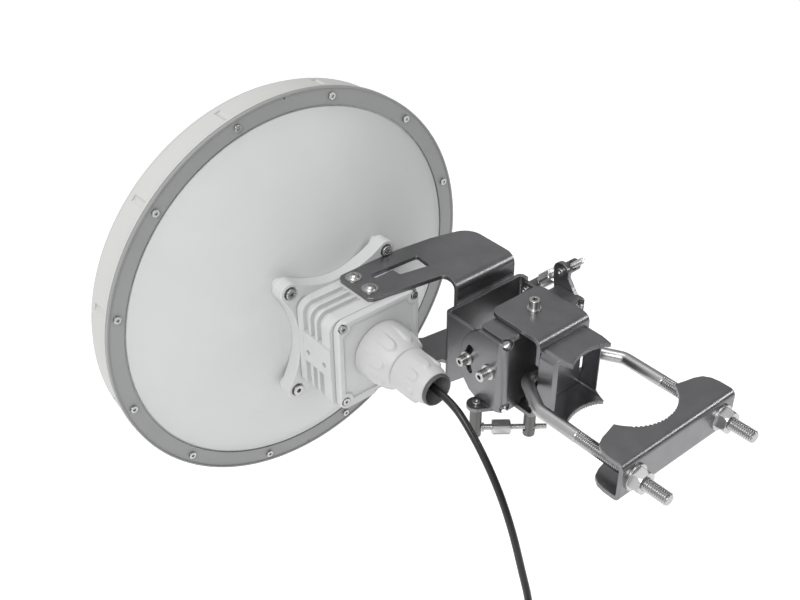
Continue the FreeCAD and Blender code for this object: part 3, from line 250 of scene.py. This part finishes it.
def path_frames(points, bend_radius, step):
    """Centre points and tangents, sampled along a polyline with rounded corners."""
    samples = []
    cursor = points[0]

    def straight(start, end):
        length = (end - start).length
        count = max(1, int(length / step))
        for k in range(count):
            samples.append((start.lerp(end, k / count), (end - start).normalized()))

    for before, corner, after in zip(points, points[1:], points[2:]):
        back = (before - corner).normalized()
        ahead = (after - corner).normalized()
        turn = math.pi - back.angle(ahead)
        reach = bend_radius * math.tan(turn / 2.0)
        start = corner + back * reach
        end = corner + ahead * reach
        straight(cursor, start)
        centre = corner + (back + ahead).normalized() * (bend_radius / math.cos(turn / 2.0))
        axis = (-back).cross(ahead).normalized()
        count = max(6, int(bend_radius * turn / step)) if bend_radius > 0.0 else 0
        for k in range(count):
            spin = Matrix.Rotation(turn * k / count, 3, axis)
            samples.append((centre + spin @ (start - centre), spin @ -back))
        cursor = end
    straight(cursor, points[-1])
    samples.append((points[-1], (points[-1] - cursor).normalized()))
    return samples


STEPS_PER_TURN = 6.0
TOOTH_SLOPE, TOOTH_FLAT = 1.35, 0.12


def threaded_rod(name, points, bend_radius, radius, depth, pitch, threaded, chamfer, slot, body, around):
    """Solid rod along a path; threaded(s, total) says where its thread is cut."""
    step = pitch / STEPS_PER_TURN
    samples = path_frames(points, bend_radius, step)
    distance = [0.0]
    for (a, _), (b, _) in zip(samples, samples[1:]):
        distance.append(distance[-1] + (b - a).length)
    total = distance[-1]
    mesh = bmesh.new()
    side = samples[0][1].orthogonal().normalized()
    rings = []
    for (centre, tangent), s in zip(samples, distance):
        side = (side - tangent * side.dot(tangent)).normalized()
        other = tangent.cross(side)
        share = threaded(s, total)
        end = min(s, total - s)
        trim = max(0.0, chamfer - end)
        ring = []
        for k in range(around):
            angle = 2.0 * math.pi * k / around
            wave = (s / pitch + k / around) % 1.0
            tooth = abs(2.0 * wave - 1.0)
            tooth = min(1.0, max(0.0, TOOTH_SLOPE * tooth - TOOTH_FLAT))
            r = min(radius - depth * tooth * share, radius - trim)
            ring.append(mesh.verts.new(centre + (side * math.cos(angle) + other * math.sin(angle)) * r))
        rings.append(ring)
    for low, high in zip(rings, rings[1:]):
        for k in range(around):
            mesh.faces.new((low[k], low[(k + 1) % around], high[(k + 1) % around], high[k]))
    mesh.faces.new(list(reversed(rings[0])))
    mesh.faces.new(rings[-1])
    bmesh.ops.recalc_face_normals(mesh, faces=mesh.faces)
    data = bpy.data.meshes.new(name)
    mesh.to_mesh(data)
    mesh.free()
    obj = new_object(name, data, slot, body)
    shade(obj, 40.0)
    return obj


BOLT_Z = -1.5
BOLT_R = 0.0058
V_ROUTE = [pt(x, y, BOLT_Z) for x, y in ((-54.5, 94.4), (-54.5, -44.0), (-34.5, -79.0), (34.5, -79.0),
                                         (54.5, -44.0), (54.5, 94.4))]
THREAD_LONG = 0.095
THREAD_RUN_OUT = 0.002
BOLT_BEND_R = 0.013
BOLT_THREAD_DEPTH, BOLT_PITCH, BOLT_CHAMFER = 0.0011, 0.0019, 0.0012


def bolt_thread(s, total):
    """Full depth near both ends, running out to none on the way to the bend."""
    end = min(s, total - s)
    return max(0.0, min(1.0, (THREAD_LONG - end) / THREAD_RUN_OUT))


v_bolt = threaded_rod("v_bolt_threaded", V_ROUTE, BOLT_BEND_R, BOLT_R, BOLT_THREAD_DEPTH, BOLT_PITCH,
                      bolt_thread, BOLT_CHAMFER, "bolt_steel", "clamp_base", 32)
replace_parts(v_bolt, "v_bolt")


# ---------------------------------------------------------------------------
# Turned pieces: rings of points about an axis
# ---------------------------------------------------------------------------

def turned(mesh, origin, axis, profile, around, section=None):
    """Close a ring of (distance, radius) stations about an axis; section() shapes each ring."""
    side = axis.orthogonal().normalized()
    other = axis.cross(side)
    rings = []
    for station, (along, radius) in enumerate(profile):
        ring = []
        for k in range(around):
            angle = 2.0 * math.pi * k / around
            r = section(station, along, radius, angle) if section else radius
            spoke = side * math.cos(angle) + other * math.sin(angle)
            ring.append(mesh.verts.new(origin + axis * along + spoke * r))
        rings.append(ring)
    for low, high in zip(rings, rings[1:] + rings[:1]):
        for k in range(around):
            mesh.faces.new((low[k], low[(k + 1) % around], high[(k + 1) % around], high[k]))


def finish_mesh(name, mesh, slot, body, angle):
    bmesh.ops.recalc_face_normals(mesh, faces=mesh.faces)
    data = bpy.data.meshes.new(name)
    mesh.to_mesh(data)
    mesh.free()
    obj = new_object(name, data, slot, body)
    shade(obj, angle)
    return obj


# ---------------------------------------------------------------------------
# Cable gland: two bulged shells, each with eight lugs that stand out as the
# shell narrows and end round, and a dark rim that the cable leaves
# ---------------------------------------------------------------------------

GLAND_AXIS = pt(106.0, -319.0, 2.5)
BACKWARD = Vector((0.0, 1.0, 0.0))
LUGS = 8
LUG_ROUND = 0.006
LUG_STEEP = 3.2
GLAND_STEPS = 44
GLAND_AROUND = 192
FRONT_CHAMFER, BOTH_CHAMFERS = 0.0012, 0.0020
FRONT_DROP, BACK_DROP = 0.0011, 0.0008
MOUTH_FLARE, MOUTH_DEEP = 0.0040, 0.0100


def smooth(value):
    value = max(0.0, min(1.0, value))
    return value * value * (3.0 - 2.0 * value)


def gland_shell(name, node, body, start, end, wide, narrow, straight, bulge, lug_end, lug_high,
                half_angle, phase, bore):
    """Shell from start to end along the axis: wide for a straight length, then bulging in to narrow."""
    stations = [start]
    for k in range(GLAND_STEPS + 1):
        stations.append(start + FRONT_CHAMFER + (end - start - BOTH_CHAMFERS) * k / GLAND_STEPS)
    stations.append(end)

    def outline(along):
        part = max(0.0, (along - start - straight) / (end - start - straight))
        return wide - (wide - narrow) * part ** bulge

    profile = [(along, outline(along)) for along in stations]
    profile[0] = (start, wide - FRONT_DROP)
    profile[-1] = (end, narrow - BACK_DROP)
    profile += [(end, bore + MOUTH_FLARE), (end - MOUTH_DEEP, bore), (start, bore)]
    outer = len(stations)

    def section(station, along, radius, angle):
        if station in (0, outer - 1) or station >= outer:
            return radius
        pitch = 2.0 * math.pi / LUGS
        off = (angle - phase + pitch / 2.0) % pitch - pitch / 2.0
        tip = max(0.0, along - lug_end + LUG_ROUND) / LUG_ROUND
        inside = 1.0 - math.hypot(off / half_angle, tip)
        rise = smooth((along - start) / (lug_end - start))
        return min(wide, radius + lug_high * rise * smooth(inside * LUG_STEEP))

    mesh = bmesh.new()
    turned(mesh, GLAND_AXIS, BACKWARD, profile, GLAND_AROUND, section)
    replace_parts(finish_mesh(name, mesh, "gland_plastic", body, 50.0), node)


gland_shell("gland_dome_lugged", "gland_dome", "antenna", start=0.1258, end=0.1640, wide=0.0288,
            narrow=0.0200, straight=0.0050, bulge=2.1, lug_end=0.1590, lug_high=0.0022, half_angle=0.22,
            phase=math.radians(22.5), bore=0.0144)
gland_shell("gland_nut_lugged", "gland_nut", "gland_ring", start=0.1643, end=0.2016, wide=0.0206,
            narrow=0.0154, straight=0.0030, bulge=2.3, lug_end=0.1935, lug_high=0.0020, half_angle=0.24,
            phase=0.0, bore=0.0094)

RIM_PROFILE = [(0.1800, 0.0036), (0.1800, 0.0090), (0.1912, 0.0091), (0.2017, 0.0133), (0.2017, 0.0153),
               (0.2040, 0.0152), (0.2049, 0.0146), (0.2050, 0.0138), (0.2040, 0.0131), (0.1940, 0.0090),
               (0.1920, 0.0080), (0.1920, 0.0036)]


def gland_rim():
    mesh = bmesh.new()
    turned(mesh, GLAND_AXIS, BACKWARD, RIM_PROFILE, 72)
    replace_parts(finish_mesh("gland_rim", mesh, "boot_rubber", "antenna", 30.0), "gland_boot")


gland_rim()


# ---------------------------------------------------------------------------
# Adjusting screws: threaded rod, two collars and a chamfered hexagon
# ---------------------------------------------------------------------------

ROD_R = 0.0029
POST_R = 0.0056
HEX_FLATS = 0.0138
HEX_LONG = 0.0170
ROD_THREAD_DEPTH, ROD_PITCH, ROD_CHAMFER = 0.0006, 0.0014, 0.0006
ROD_RUN_OUT = 0.001
ROD_BEHIND = 0.0024
COLLAR_LONG = 0.0020
COLLAR_GAP = 0.0028
COLLAR = [(0.0, 0.0040), (0.0004, 0.0044), (0.0016, 0.0044), (COLLAR_LONG, 0.0040)]
BORE_SINK = 0.0002
HEX_ROUND = 0.56
HEX_CHAMFER, HEX_CHAMFER_LONG = 0.0003, 0.0008


def adjuster(name, node, body, near, far, hex_at, end):
    """A screw from its near post to end past its far one; its hexagon starts hex_at from the near one."""
    axis = (far - near).normalized()
    span = (far - near).length
    start = near - axis * (POST_R + ROD_BEHIND)
    total = span + end + POST_R + ROD_BEHIND
    smooth_until = POST_R + ROD_BEHIND + hex_at + HEX_LONG

    def thread(s, _):
        return max(0.0, min(1.0, (s - smooth_until) / ROD_RUN_OUT))

    rod = threaded_rod(name, [start, start + axis * total / 2.0, start + axis * total], 0.0, ROD_R,
                       ROD_THREAD_DEPTH, ROD_PITCH, thread, ROD_CHAMFER, "nut_zinc", body, 20)
    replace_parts(rod, node)
    mesh = bmesh.new()
    bore = ROD_R - BORE_SINK
    for along in (0.0, 2.0 * POST_R + COLLAR_GAP):
        turned(mesh, start + axis * along, axis, COLLAR + [(COLLAR_LONG, bore), (0.0, bore)], 40)
    corner = HEX_FLATS * HEX_ROUND
    face = HEX_FLATS / 2.0

    def hexagon(station, along, radius, angle):
        off = angle % (math.pi / 3.0) - math.pi / 6.0
        return min(radius, face / math.cos(off)) if radius > bore else radius

    hex_profile = [(0.0, face - HEX_CHAMFER), (HEX_CHAMFER_LONG, corner),
                   (HEX_LONG - HEX_CHAMFER_LONG, corner), (HEX_LONG, face - HEX_CHAMFER),
                   (HEX_LONG, bore), (0.0, bore)]
    turned(mesh, near + axis * hex_at, axis, hex_profile, 72, hexagon)
    finish_mesh(name + "_hexagon", mesh, "nut_zinc", body, 25.0)


adjuster("azimuth_screw_threaded", "azimuth_screw", "azimuth_adjuster", pt(57.4, -116.0, -68.0),
         pt(19.0, -85.0, -68.0), hex_at=0.0150, end=0.0160)
adjuster("elevation_screw_threaded", "elevation_screw", "elevation_adjuster", pt(-61.0, -160.0, 16.0),
         pt(-61.0, -122.0, 54.0), hex_at=0.0115, end=0.0200)


# ---------------------------------------------------------------------------
# Stage: floor, world light and three lamps
# ---------------------------------------------------------------------------

FLOOR_HALF = 8.0
FLOOR_DROP = 0.25
FLOOR_GLOW = 0.35
LAMPS = (("key", (1.5, 0.7, 1.5), (0.05, -0.2, 0.0), 0.9, 26.0),
         ("rim", (-1.3, 1.1, 0.9), (0.0, -0.1, 0.0), 0.35, 5.0),
         ("top", (0.0, -0.3, 2.0), (0.0, -0.2, 0.0), 1.0, 9.0))


def make_stage():
    world = bpy.data.worlds.new("world")
    bpy.context.scene.world = world
    world.use_nodes = True
    nodes, links = world.node_tree.nodes, world.node_tree.links
    sky = nodes["Background"]
    sky.inputs["Color"].default_value = (1.0, 1.0, 1.0, 1.0)
    place = nodes.new("ShaderNodeTexCoord")
    lean = nodes.new("ShaderNodeVectorMath")
    lean.operation = "DOT_PRODUCT"
    lean.inputs[1].default_value = (0.60, -0.45, 0.66)
    links.new(place.outputs["Generated"], lean.inputs[0])
    level = nodes.new("ShaderNodeMapRange")
    level.inputs["From Min"].default_value = -0.7
    level.inputs["From Max"].default_value = 0.9
    level.inputs["To Min"].default_value = 0.05
    level.inputs["To Max"].default_value = 0.85
    links.new(lean.outputs["Value"], level.inputs["Value"])
    links.new(level.outputs["Result"], sky.inputs["Strength"])
    mesh = bpy.data.meshes.new("floor")
    half = FLOOR_HALF
    ground = cad_low.z - FLOOR_DROP
    corners = [(-half, -half, ground), (half, -half, ground), (half, half, ground), (-half, half, ground)]
    mesh.from_pydata(corners, [], [(0, 1, 2, 3)])
    floor = bpy.data.objects.new("floor", mesh)
    bpy.context.scene.collection.objects.link(floor)
    white = paint("floor_paint", (0.93, 0.93, 0.93), 0.9, bump=0.0, mottle=0.0, rough_spread=0.0, edge=0.0)
    shader = white.node_tree.nodes["Principled BSDF"]
    shader.inputs["Emission Color"].default_value = (1.0, 1.0, 1.0, 1.0)
    shader.inputs["Emission Strength"].default_value = FLOOR_GLOW
    floor.data.materials.append(white)
    for name, at, aim, size, power in LAMPS:
        data = bpy.data.lights.new(name, "AREA")
        data.energy = power
        data.size = size
        light = bpy.data.objects.new(name, data)
        bpy.context.scene.collection.objects.link(light)
        light.location = at
        light.rotation_euler = (Vector(aim) - Vector(at)).to_track_quat("-Z", "Y").to_euler()


make_stage()
bpy.context.scene.view_settings.view_transform = "Standard"
